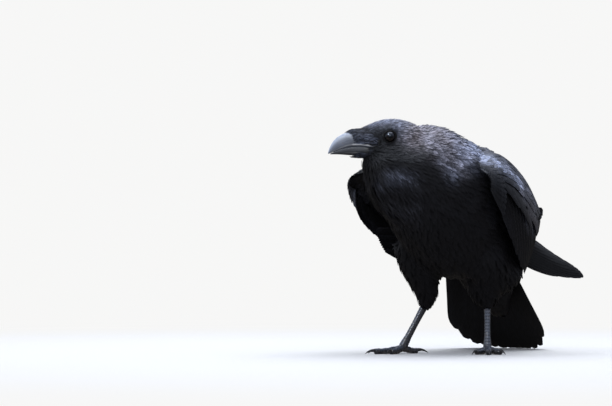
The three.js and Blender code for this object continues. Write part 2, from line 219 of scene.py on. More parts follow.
# ------------------------------------------------------------------ skin
# One skin covers head, neck, trunk, the flesh of the wings and the thighs. It lies below the
# tips of the feathers by the depth of the plumage: a millimetre on the face, more on the back
# and breast.
FLESH = ("head", "neck", "trunk", "tail_coverts", "shank_left", "shank_right")
ARMS = ("wing_left", "wing_right")


def placed(name, mesh):
    piece = bpy.data.objects.new(name, mesh)
    bpy.context.scene.collection.objects.link(piece)
    return piece


def copy_of(name, node):
    made = placed(name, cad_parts[node].data.copy())
    made.data.materials.clear()
    return made


def apply(piece, kind, **settings):
    only(piece)
    made = piece.modifiers.new("step", kind)
    for key, value in settings.items():
        setattr(made, key, value)
    bpy.ops.object.modifier_apply(modifier=made.name)


def edited(piece, operator, **settings):
    """Run one of edit mode's operators on the whole of a piece."""
    only(piece)
    bpy.ops.object.mode_set(mode="EDIT")
    bpy.ops.mesh.select_all(action="SELECT")
    operator(**settings)
    bpy.ops.object.mode_set(mode="OBJECT")


def moulded(name, nodes, cell, rounds):
    """Copies of solids grown together into one smooth closed surface."""
    copies = [copy_of(name, node) for node in nodes]
    for one in copies:
        apply(one, "WELD", merge_threshold=0.00002)
        apply(one, "DISPLACE", strength=0.0004, mid_level=0)
    only(*copies)
    bpy.ops.object.join()
    whole = bpy.context.object
    apply(whole, "REMESH", mode="VOXEL", voxel_size=cell, use_smooth_shade=True)
    apply(whole, "SMOOTH", factor=0.5, iterations=rounds)
    whole.name = whole.data.name = name
    return whole


skin = moulded("skin", FLESH + ARMS, 0.0024, 10)
only(skin)
bpy.ops.mesh.separate(type="LOOSE")
parts = sorted(bpy.context.selected_objects, key=lambda one: len(one.data.vertices))
skin = parts.pop()
for scrap in parts:
    bpy.data.objects.remove(scrap)
skin.name = skin.data.name = "skin"


def points_of(mesh, name="co"):
    data = np.zeros(len(mesh.vertices) * 3, np.float32)
    mesh.vertices.foreach_get(name, data)
    return data.reshape(-1, 3).astype(float)


# How the plumage lies: at each named place of the body, the way it points, then the feathers'
# length, half width and spacing, the depth of the coat and how pointed they are, from 0 to 1.
HEAD_AT = (-40, -125, 300)
head_axes = np.array(Matrix.Rotation(math.radians(-58), 3, "Z"))


def in_head(*place):
    return head_axes @ np.array(place, float) + HEAD_AT


def spots_of(places, head, mirrored):
    """Each place, and 1 or -1 for its side; on both sides of the body where it is mirrored."""
    for place in places:
        for side in (1, -1) if mirrored else (1,):
            spot = np.array(place, float) * (side, 1, 1)
            yield in_head(*spot) if head else spot, side


LIE = []


def lie(places, way, length, half, spacing, depth, point, head=False, mirrored=False):
    for spot, side in spots_of(places, head, mirrored):
        path = np.array(way, float) * (side, 1, 1)
        path = head_axes @ path if head else path
        path /= np.linalg.norm(path)
        LIE.append((*spot, *path, length, half, spacing, depth, point))


# head: forehead, crown, lores, round the eye, ear coverts, chin, throat
lie([(0, -46, 9)], (0, 1, 0.4), 5, 0.8, 1.4, 1.0, 0.8, True)
lie([(0, -28, 20), (0, -8, 25)], (0, 1, 0.1), 7, 1.1, 1.6, 1.6, 0.6, True)
lie([(0, 18, 23)], (0, 1, -0.2), 9, 1.4, 1.9, 2.0, 0.6, True)
lie([(15, -36, 2), (14, -34, -10)], (0, 1, -0.1), 5, 0.7, 1.3, 1.0, 0.9, True, True)
lie([(22, -4, 14)], (0, 1, -0.05), 5, 0.9, 1.4, 1.2, 0.7, True, True)
lie([(25, -8, -10)], (0, 1, -0.2), 5, 0.8, 1.4, 1.2, 0.7, True, True)
lie([(25, 14, -4)], (0, 1, -0.35), 8, 1.2, 1.8, 1.8, 0.6, True, True)
lie([(14, -36, -26)], (0, 0.9, -0.5), 8, 0.9, 1.7, 1.5, 0.9, True, True)
lie([(0, -44, -30), (8, -40, -34)], (0, 0.1, -1), 16, 1.2, 1.9, 3.4, 0.9, True, True)
lie([(0, -42, -55)], (0, 0.25, -0.95), 24, 1.6, 2.9, 4.8, 1.0, True)
lie([(24, -20, -50)], (0.15, 0.45, -0.85), 22, 1.6, 2.9, 5.0, 1.0, True, True)
lie([(20, 0, -80), (0, -22, -95)], (0.1, 0.4, -0.9), 30, 1.9, 3.3, 6.5, 1.0, True, True)
# neck and breast, then the back, the sides, the belly and what is under the tail
lie([(-15, -85, 318)], (0.35, 0.95, -0.05), 14, 2.0, 2.7, 3.0, 0.5)
lie([(24, -92, 292)], (0.55, 0.8, -0.25), 14, 1.9, 2.6, 3.2, 0.5)
lie([(40, -80, 262)], (0.5, 0.8, -0.35), 15, 2.3, 3.0, 3.5, 0.5)
lie([(40, -98, 235)], (0.3, 0.72, -0.6), 20, 2.9, 3.8, 4.0, 0.6)
lie([(-75, -75, 240)], (-0.1, 0.85, -0.5), 20, 3.1, 4.0, 4.0, 0.55)
lie([(0, -130, 190), (-40, -120, 180)], (0, 0.5, -0.87), 26, 3.4, 4.4, 5.0, 0.6)
lie([(60, -50, 240)], (0.1, 0.85, -0.5), 22, 3.6, 4.4, 4.5, 0.4)
lie([(0, -25, 300)], (0.03, 0.97, -0.2), 22, 4.4, 4.8, 4.5, 0.3)
lie([(0, 30, 280)], (0, 0.92, -0.38), 28, 7.0, 6.8, 5.0, 0.2)
lie([(0, 85, 230), (0, 118, 170)], (0, 0.75, -0.66), 30, 6.5, 7.0, 5.0, 0.35)
lie([(76, 0, 200), (72, 40, 170)], (0, 0.8, -0.55), 30, 5.0, 5.8, 5.0, 0.4, False, True)
lie([(30, -80, 140)], (0, 0.7, -0.7), 30, 4.2, 5.2, 5.5, 0.6, False, True)
lie([(80, 22, 132), (76, 42, 126), (72, 54, 112)], (0.25, 0.6, -0.8), 40, 5.2, 5.0, 11.0, 0.6)
lie([(0, -40, 118)], (0, 0.9, -0.42), 32, 4.6, 5.6, 5.5, 0.7)
lie([(30, 30, 110)], (0, 0.85, -0.5), 32, 4.6, 5.6, 5.5, 0.7, False, True)
lie([(4, 90, 90), (3, 130, 70), (2, 165, 45)], (0, 0.72, -0.7), 34, 6.2, 6.6, 5.0, 0.5)
lie([(30, 120, 110)], (0, 0.72, -0.7), 32, 6.2, 6.6, 5.0, 0.5, False, True)
# thighs
lie([(60, -20, 130)], (0, 0.3, -0.95), 26, 3.8, 4.8, 4.0, 0.6, False, True)
lie([(50, 30, 120)], (0, 0.3, -0.95), 26, 3.8, 4.8, 4.0, 0.6, False, True)
lie([(40, 20, 75), (-46, 2, 75)], (0, 0.12, -1), 15, 2.2, 3.2, 2.2, 0.8)
# shoulders: the small coverts on the flesh of the wings
lie([(80, -60, 255), (-118, -55, 255)], (0, 0.9, -0.35), 13, 3.8, 4.4, 2.0, 0.2)
lie([(60, 0, 275), (-90, 0, 275)], (0, 0.93, -0.35), 22, 6.2, 6.2, 2.5, 0.15)
lie([(98, 0, 235), (-135, 0, 235)], (0, 0.9, -0.4), 20, 6.0, 6.0, 2.0, 0.15)
lie([(70, 90, 232), (-85, 90, 232)], (0, 0.85, -0.45), 32, 7.5, 7.5, 2.5, 0.15)
LIE = np.array(LIE)


def lie_at(places):
    """The lie of the plumage at these places, blended between the named ones."""
    far = np.linalg.norm(places[:, None] - (LIE[None, :, :3] / 1000 + zero), axis=2)
    weight = 1 / (far**3 + 1e-7)
    weight /= weight.sum(axis=1, keepdims=True)
    return weight @ LIE[:, 3:]


# Where the plumage has a painted sheen, a painted highlight of the sky laid into its colour: the
# places, how far it reaches, how pale it is there, from 0 to 1, and how blue, from 0 for brown to
# 1. Everywhere else the plumage is black, and so is the mask round the eyes, where the paleness
# given is below 0.
PAINTED_SHEEN = []


def painted_sheen(places, reach, pale, blue, head=False, mirrored=True):
    PAINTED_SHEEN.extend((*spot, reach, pale, blue) for spot, _ in spots_of(places, head, mirrored))


# painted sheen on crown and forehead, ear coverts, sides of the nape, then the black mask
painted_sheen([(4, -8, 25), (5, 12, 24)], 18, 0.62, 0.9, True)
painted_sheen([(5, -30, 19), (15, -14, 20), (19, 4, 17)], 11, 0.55, 0.85, True)
painted_sheen([(25, 10, 4)], 9, 0.25, 0.2, True)
painted_sheen([(26, 22, -8)], 13, 0.26, 0.1, True)
painted_sheen([(18, 34, 8), (10, 40, 12)], 20, 0.85, 0.2, True)
painted_sheen([(28, 44, -16)], 13, 0.2, 0.2, True)
painted_sheen([(19, -30, 0), (22, -21, -1), (26, -9, -13)], 8, -0.9, 0.9, True)
painted_sheen([(24, -22, -9), (23, -8, 10)], 8, -0.9, 0.9, True)
painted_sheen([(22, -17, 8), (24, 1, 8)], 5, -0.8, 0.9, True)
# painted sheen on nape and side of the neck, with a faint painted gleam on the throat's hackles
painted_sheen([(13, -98, 307), (30, -90, 299)], 18, 0.85, 0.35, False, False)
painted_sheen([(44, -80, 288), (52, -72, 278)], 17, 0.95, 0.7, False, False)
painted_sheen([(30, -103, 287), (18, -114, 290)], 12, 0.5, 0.4, False, False)
painted_sheen([(60, -66, 262), (55, -79, 256)], 9, -0.9, 0.9, False, False)
painted_sheen([(-10, -76, 317), (-32, -78, 310), (-50, -84, 298)], 20, 0.35, 0.6, False, False)
painted_sheen([(32, -112, 272), (46, -92, 263)], 13, 0.6, 0.5, False, False)
painted_sheen([(40, -108, 250)], 11, 0.18, 0.8, False, False)
painted_sheen([(-3, -146, 240), (-16, -157, 246), (-29, -161, 245)], 9, 0.14, 0.9, False, False)
painted_sheen([(-44, -150, 236), (-62, -130, 240)], 11, 0.15, 0.8, False, False)
painted_sheen([(-40, -132, 200), (-10, -136, 206)], 30, 0.015, 0.6, False, False)
# painted sheen on mantle and shoulders, then the wings: palest along the outer curve, and
# further back brown
painted_sheen([(50, -50, 284)], 18, 0.85, 0.95)
painted_sheen([(64, -48, 276), (76, -38, 270)], 13, 0.6, 1.0)
painted_sheen([(86, -26, 262), (92, -14, 252), (97, -3, 242)], 11, 0.75, 0.9)
painted_sheen([(-139, -18, 222), (-135, -45, 214)], 18, 0.05, 0.8, False, False)
painted_sheen([(-140, 5, 190), (-134, 25, 165)], 30, 0.03, 0.5, False, False)
painted_sheen([(94, 16, 234), (88, 36, 228), (84, 60, 216)], 18, 0.24, 0.6)
painted_sheen([(102, 10, 219), (101, 34, 203), (95, 62, 190)], 15, 0.1, 0.0)
painted_sheen([(10, -24, 302), (-14, 4, 292), (22, 24, 282)], 30, 0.13, 0.8)
painted_sheen([(62, -14, 276), (58, 26, 266), (62, 70, 240), (60, 120, 214)], 28, 0.13, 0.7)
painted_sheen([(0, 60, 256), (0, 100, 200)], 34, 0.09, 0.6)
PAINTED_SHEEN = np.array(PAINTED_SHEEN)


def painted_sheen_at(places):
    """How pale, and how blue, the painted sheen makes the plumage at these places."""
    far = np.linalg.norm(places[:, None] - (PAINTED_SHEEN[None, :, :3] / 1000 + zero), axis=2) * 1000
    share = PAINTED_SHEEN[:, 4] * np.exp(-((far / PAINTED_SHEEN[:, 3]) ** 2))
    mask = np.prod(1 + np.minimum(share, 0), axis=1)
    share = np.maximum(share, 0)
    blue = (share @ PAINTED_SHEEN[:, 5] + 0.005) / (share.sum(axis=1) + 0.01)
    return np.stack([(1 - np.prod(1 - share, axis=1)) * mask, blue], axis=1)


spots = points_of(skin.data)
depth = skin.vertex_groups.new(name="depth")
deep = lie_at(spots)[:, 6]
# the throat is hollow below the chin, and the left flank is full behind the wing
for place, hollow, size in ((in_head(4, -48, -72), 6.5, 26), ((74, 56, 116), -9, 27)):
    away = np.linalg.norm(spots - at(*place), axis=1) * 1000
    deep += hollow * np.exp(-((away / size) ** 2))
# a vertex group holds shares of one, so the coat's depth is held as a share of the deepest
DEEPEST = 16
for number, share in enumerate(deep / DEEPEST):
    depth.add([number], float(share), "REPLACE")
apply(skin, "DISPLACE", strength=-1.04 * DEEPEST / 1000, mid_level=0, vertex_group="depth")
apply(skin, "SMOOTH", factor=0.5, iterations=3)
skin.vertex_groups.clear()

# the sockets, a little wider than the eyeballs. EYE is the radius of an eyeball, LID that of
# the ring that its lid rolls round, and EYE_AT is the left eye's middle in millimetres from the
# head's: outwards, backwards and up.
EYE = 0.0084
LID = 0.0086
EYE_AT = (18.8, -8.3, 0.6)
spots = points_of(skin.data)
for side in (1, -1):
    eye_at = np.array(EYE_AT) * (side, 1, 1)
    local = ((spots - at(*HEAD_AT)) * 1000) @ head_axes - eye_at
    flat = np.hypot(local[:, 1], local[:, 2])
    share = np.clip((flat - 7.4) / 5.5, 0, 1)[:, None] ** 1.5
    near = (flat < 13) & (local[:, 0] * side > -9)
    sunk = local.copy()
    sunk[:, 0] = side * np.where(flat < 7.4, 1.5, 3.8)
    local = sunk * (1 - share) + local * share + eye_at
    spots[near] = (local @ head_axes.T / 1000 + at(*HEAD_AT))[near]
skin.data.vertices.foreach_set("co", spots.ravel())
edited(skin, bpy.ops.uv.smart_project, angle_limit=math.radians(66), island_margin=0.004)
skin.data.uv_layers.active.name = "OFBake"


def hold(mesh, name, rows):
    """Keep a row of three numbers on each vertex, for the mesh's finish to read."""
    mesh.attributes.new(name, "FLOAT_VECTOR", "POINT").data.foreach_set("vector", rows.ravel())


def marked(mesh, across, along, lot, tone):
    """What a finish for feathers reads at each vertex: where on the feather, and its painted
    sheen.
    """
    hold(mesh, "barb", np.stack([across, along, lot], axis=1))
    hold(mesh, "painted_sheen", np.pad(tone, ((0, 0), (0, 1))))


def barbed(name, roughness, gloss, dark, worn=0.012):
    """A finish for feathers: fine barbs, a worn rim, and a mottled painted sheen where marked."""
    material, shader, place = finish(name, roughness=roughness, specular_ior_level=gloss)
    shader.inputs["Specular Tint"].default_value = (0.85, 0.9, 1, 1)
    barb = place.held("barb")
    tone = place.held("painted_sheen")
    across, along, lot = barb.part("X"), barb.part("Y"), barb.part("Z")
    pale, blue = tone.part("X"), tone.part("Y")
    rim = across.size()
    comb = (along * 70.0 - rim * 26.0 + lot * 9.0).wave()
    broad, fine = place.noise(45.0, 4.0), place.noise(330.0, 3.0)
    edge = (rim.between(0.2, 1.0) * 0.5 + along.between(0.3, 1.0) * 0.7).clamp()
    mottled = 0.35 + 0.45 * broad.between(0.35, 0.65) + 0.75 * fine.between(0.35, 0.65) * edge
    # the paleness is the painted sheen, mottled and palest at the feathers' edges and tips, plus
    # the worn rim's real wear; its colour goes from brown to blue
    lift = (pale * mottled * (0.45 + 1.5 * lot * lot) + worn * edge * fine).clamp()
    painted_sheen_colour = (blue + 0.7 * broad - 0.35).clamp().blend((0.36, 0.315, 0.335), (0.41, 0.47, 0.66))
    feed(shader, base_color=lift.blend(dark, painted_sheen_colour), normal=relief(comb, 0.00006, 0.5),
         roughness=0.12 * fine + 0.1 * rim + (roughness - 0.08))
    return material


spots = points_of(skin.data)
even = np.ones(len(spots))
# the skin is marked with the same painted sheen as the feathers over it
marked(skin.data, even * 0, even * 0.5, even * 0.5, painted_sheen_at(spots))
skin.data.materials.append(barbed("dark_skin", 0.7, 0.1, (0.006, 0.006, 0.0065)))
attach(skin, "root")
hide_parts(*FLESH, *ARMS)

# ------------------------------------------------------------------ bill
# Two sheaths of dark horn. The upper one is deep, curved and hooked, with a round ridge, and
# its cutting edge overlaps the lower one. Both widen at the root to the corners of the mouth.


def unit(rows):
    return rows / np.maximum(np.linalg.norm(rows, axis=-1, keepdims=True), 1e-9)


def through(places, share):
    """Points at these shares of a smooth curve through evenly numbered places."""
    places = np.array(places, float)
    row = np.vstack([2 * places[0] - places[1], places, 2 * places[-1] - places[-2]])
    run = share * (len(places) - 1)
    k = np.clip(np.floor(run), 0, len(places) - 2).astype(int)
    w = (run - k)[:, None]
    a, b, c, d = (row[k + step] for step in range(4))
    pairs = ((a, b), (b, c), (c, d))
    ab, bc, cd = (np.linalg.norm(q - p, axis=1)[:, None] ** 0.5 for p, q in pairs)
    leave = bc * ((b - a) / ab - (c - a) / (ab + bc)) + c - b
    meet = c - b - bc * ((d - b) / (bc + cd) - (d - c) / cd)
    rest = (3 * (c - b) - 2 * leave - meet) * w**2 + (2 * (b - c) + leave + meet) * w**3
    return b + leave * w + rest


def horn_at(stations, share, angle, square_up=2.0, square_down=2.0, lift=0.0):
    """Places round a sheath, in the head's frame. Each station is y, z, half width, up, down."""
    stations = np.array(stations, float)
    spine = np.insert(stations[:, :2], 0, 0, axis=1)
    ahead = unit(through(spine, share + 1e-3) - through(spine, share - 1e-3))
    across = unit(np.cross(ahead, (0, 0, 1)))
    above = np.cross(across, ahead)
    wide, tall, deep = through(stations[:, 2:5], share).T
    c, s = np.cos(angle), np.sin(angle)
    power = 2 / np.where(s > 0, square_up, square_down)
    wide = np.sign(c) * np.abs(c) ** power * (wide + lift)
    tall = np.sign(s) * np.abs(s) ** power * (np.where(s > 0, tall, deep) + lift)
    return through(spine, share) + across * wide[:, None] + above * tall[:, None]


def from_head(places):
    return at(*(places @ head_axes.T + HEAD_AT))


def sheath(name, stations, rings, sides, place=(head_axes, HEAD_AT), **squares):
    share = np.repeat(np.linspace(0, 1, rings), sides)
    angle = np.tile(np.arange(sides) * 2 * np.pi / sides, rings)
    places = horn_at(stations, share, angle, **squares)
    ends = np.array([(0, *stations[0][:2]), (0, *stations[-1][:2])]) + [(0, 1, 0), (0, -0.6, -0.6)]
    faces = []
    for i in range(rings - 1):
        for j in range(sides):
            a, b = i * sides + j, i * sides + (j + 1) % sides
            faces.append((a, b, b + sides, a + sides))
    last = (rings - 1) * sides
    for j in range(sides):
        step = (j + 1) % sides
        faces.append((step, j, rings * sides))
        faces.append((last + j, last + step, rings * sides + 1))
    mesh = bpy.data.meshes.new(name)
    places = np.vstack([places, ends]) @ place[0].T + place[1]
    mesh.from_pydata(at(*places).tolist(), [], faces)
    piece = placed(name, mesh)
    edited(piece, bpy.ops.mesh.normals_make_consistent, inside=False)
    bpy.ops.object.shade_smooth_by_angle(angle=math.radians(50))
    grain = np.stack([share, np.sin(angle), np.cos(angle)], axis=1)
    hold(mesh, "grain", np.vstack([grain, (0, 0, 0), (1, 0, 0)]))
    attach(piece, "root")
    return piece


UPPER = [(-22, -4, 19.2, 13.5, 14), (-33, -3, 16.2, 13, 12.8), (-45, -2.4, 12.4, 12, 11.2),
         (-56, -3, 9.8, 11.5, 10.4), (-64, -5, 8.4, 11.3, 9), (-72, -8.4, 6.6, 10.4, 7.6),
         (-79, -12.6, 4.6, 8.2, 6), (-85.5, -17.6, 2.4, 4.4, 3.4), (-90, -22, 0.8, 1, 0.9)]
LOWER = [(-20, -22.5, 18.2, 7, 5.5), (-33, -20, 14.6, 7, 6.4), (-45, -18.8, 10.6, 7, 6.8),
         (-56, -18.4, 7.8, 6, 6.5), (-67, -19, 5.6, 5, 5.2), (-77, -20.6, 3.4, 3, 3),
         (-84, -22.2, 1.5, 1.4, 1.3), (-87, -22.8, 0.8, 0.7, 0.7)]
UPPER_FORM = {"square_up": 1.8, "square_down": 4.5}
LOWER_FORM = {"square_up": 4.0}
upper_bill = sheath("upper_bill", UPPER, 72, 64, **UPPER_FORM)
lower_bill = sheath("lower_bill", LOWER, 60, 48, **LOWER_FORM)
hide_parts("bill_upper")
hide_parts("bill_lower")

# the lower bill is painted darker overall than the upper one, a painted shade, and both fade to
# near black at the root
for horn, tone, fringe in ((upper_bill, 1.0, 0.14), (lower_bill, 0.25, 0.34)):
    slate, shader, place = finish(f"{horn.name}_horn", roughness=0.38, specular_ior_level=0.5)
    grain = place.held("grain")
    along, height = grain.part("X"), grain.part("Y")
    streaks = grain.stretched(5.0, 26.0, 9.0).noise(1.6, 5.0, 0.6)
    cloud = place.noise(90.0, 4.0)
    painted_ridge_highlight = height.between(0.3, 1.0)
    gape = along.between(0.1, 0.18) * (1.0 - along.between(0.34, 0.5)) + 0.3
    rim = (1.0 - (height + 0.42).size().between(0.04, 0.2)) * gape
    worn = (streaks * 0.6 + cloud * 0.6 - 0.15).clamp()
    base = worn.blend((0.07, 0.08, 0.105), (0.23, 0.26, 0.33))
    # painted shade: each sheath is painted darker towards its underside
    base = (height.between(-0.5, 0.3) * 0.75 + 0.25).clamp().blend((0.015, 0.016, 0.02), base)
    # painted highlight along the ridge
    colour = (painted_ridge_highlight * (0.6 + 0.8 * cloud)).clamp().blend(base, (0.42, 0.48, 0.6))
    # painted highlight: a pale line along the cutting edge near the corner of the mouth
    colour = (rim * (0.35 + 0.7 * streaks)).clamp().blend(colour, (0.5, 0.5, 0.52))
    flecks = (place.noise(420.0, 2.0).between(0.68, 0.74) * cloud.between(0.45, 0.6) * 0.5).clamp()
    colour = flecks.blend(colour, (0.2, 0.11, 0.06))
    scuffed = grain.stretched(3.0, 34.0, 20.0).noise(2.2, 4.0, 0.7).between(0.5, 0.68) * 0.35
    colour = scuffed.blend(colour, (0.5, 0.52, 0.56))
    fade = along.between(0.3 * fringe, fringe) * tone
    scratched = streaks + 0.4 * place.noise(600.0, 3.0)
    feed(shader, base_color=fade.blend((0.008, 0.008, 0.009), colour),
         roughness=0.3 + 0.25 * streaks, normal=relief(scratched, 0.00035, 0.6))
    horn.data.materials.append(slate)

# ------------------------------------------------------------------ eyes
# A dark brown eye fills each socket and bulges from it, under a clear wet cornea. A bare black
# lid rolls round it, thicker above, and tucks under the small feathers of the face.


def eye_frame(side):
    """The middle of an eye, and its axes: backwards, up, and outwards along its own axis."""
    axes = head_axes @ np.array([(0, 1, 0), (0, 0, 1), (side, 0, 0)], float).T
    return from_head(np.array([EYE_AT]) * (side, 1, 1))[0], axes


wet, shader, place = finish("eye_gloss", roughness=0.04, specular_ior_level=0.6)
shader.inputs["Specular Tint"].default_value = (0.7, 0.82, 1, 1)
gaze = place.held("gaze", "Fac")
spokes = place.noise(1400.0, 4.0)
iris = (gaze.between(0.34, 0.4) * (1.0 - gaze.between(0.66, 0.74))).clamp()
colour = iris.blend((0.0012, 0.0012, 0.0013), (0.006, 0.004, 0.003))
feed(shader, base_color=(iris * spokes).clamp().blend(colour, (0.012, 0.008, 0.006)))
lid_skin, shader, place = finish("lid_skin", roughness=0.5, specular_ior_level=0.2)
colour = place.noise(500.0).blend((0.003, 0.003, 0.003), (0.008, 0.008, 0.009))
feed(shader, base_color=colour, normal=relief(place.noise(1500.0, 5.0), 0.0004))
for side, hand in ((1, "left"), (-1, "right")):
    middle, axes = eye_frame(side)
    only(skin)
    bpy.ops.mesh.primitive_uv_sphere_add(segments=56, ring_count=36, radius=EYE)
    ball = bpy.context.object
    ball.name = ball.data.name = f"eyeball_{hand}"
    local = points_of(ball.data)
    flat = np.linalg.norm(local[:, :2], axis=1) / EYE
    bulge = np.clip(1 - (flat / 0.68) ** 2, 0, 1) * 0.0004 * (local[:, 2] > 0)
    local[:, 2] += bulge
    ball.data.vertices.foreach_set("co", (local @ axes.T + middle).ravel())
    flat[local[:, 2] < 0] = 1.0
    ball.data.attributes.new("gaze", "FLOAT", "POINT").data.foreach_set("value", flat)
    bpy.ops.mesh.primitive_torus_add(major_segments=72, minor_segments=20, major_radius=LID,
                                     minor_radius=0.0011)
    lid = bpy.context.object
    lid.name = lid.data.name = f"lid_{hand}"
    local = points_of(lid.data)
    turn = np.arctan2(local[:, 1], local[:, 0])
    flat = np.linalg.norm(local[:, :2], axis=1)
    flat = LID + (flat - LID) * (1 + 0.35 * np.sin(turn))
    rim = np.clip((flat - 0.0073) / 0.0026, 0, 1)
    depth = np.sqrt(np.maximum(EYE**2 - np.minimum(flat, 0.0077) ** 2, 0)) + 0.0002
    local[:, 0] = np.cos(turn) * flat * 1.03
    local[:, 1] = np.sin(turn) * flat * (0.9 - 0.04 * np.sin(turn))
    local[:, 2] = depth + local[:, 2] * 0.9 + 0.0006 * np.sin(turn) * rim + 0.0006 * rim
    lid.data.vertices.foreach_set("co", (local @ axes.T + middle).ravel())
    for piece, material in ((ball, wet), (lid, lid_skin)):
        edited(piece, bpy.ops.mesh.normals_make_consistent, inside=False)
        bpy.ops.object.shade_smooth()
        piece.data.materials.append(material)
        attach(piece, "root")
    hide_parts(f"eye_{hand}")

# ------------------------------------------------------------------ body plumage
# The contour feathers of head, neck, body and thighs: each is a thin closed vane rooted in the
# skin, which follows the body backwards and ends on the feathers behind it. They lie loosest
# on throat and belly, and they are smallest round the bill and the eyes.
skin.data.calc_loop_triangles()
triangles = np.array([one.vertices[:] for one in skin.data.loop_triangles])
corners = np.array([one.loops[:] for one in skin.data.loop_triangles])
spots = points_of(skin.data)
outward = points_of(skin.data, "normal")
chart = np.zeros(len(skin.data.loops) * 2, np.float32)
skin.data.uv_layers["OFBake"].data.foreach_get("uv", chart)
chart = chart.reshape(-1, 2).astype(float)
hull = BVHTree.FromPolygons(spots.tolist(), triangles.tolist())
# two fixed seeds, so that the coat comes out the same each time
chance = np.random.default_rng(11)
noise.seed_set(11)


def scattered(tries):
    """Random places on the skin, none nearer to another than the feathers' spacing there."""
    a, b, c = (spots[triangles[:, k]] for k in range(3))
    area = np.linalg.norm(np.cross(b - a, c - a), axis=1)
    pick = chance.choice(len(triangles), tries, p=area / area.sum())
    u, v = chance.random(tries), chance.random(tries)
    u, v = np.where(u + v > 1, 1 - u, u), np.where(u + v > 1, 1 - v, v)
    share = np.stack([1 - u - v, u, v], axis=1)[..., None]
    place = (spots[triangles[pick]] * share).sum(axis=1)
    patch = (chart[corners[pick]] * share).sum(axis=1)
    gap = lie_at(place)[:, 5] / 1000
    tree = KDTree(tries)
    for number, spot in enumerate(place.tolist()):
        tree.insert(spot, number)
    tree.balance()
    free = np.ones(tries, bool)
    kept = []
    for number in range(tries):
        if free[number]:
            kept.append(number)
            for _, other, _ in tree.find_range(place[number], gap[number]):
                free[other] = False
    return place[kept], patch[kept]


def grown(low, high, count, wobble=0.0):
    return np.linspace(low, high, count) + wobble * chance.uniform(-1, 1, count)


def on_skin(places):
    """The nearest places of the skin, and the way that it faces there."""
    found = [hull.find_nearest(spot) for spot in places.tolist()]
    normals = outward[triangles[[one[2] for one in found]]].mean(axis=1)
    return np.array([one[0][:] for one in found]), unit(normals)


def patch_at(places):
    """Where these places are on the skin's own unwrap, for the bake."""
    found = [hull.find_nearest(spot)[2] for spot in places.tolist()]
    return chart[corners[found]].mean(axis=1)


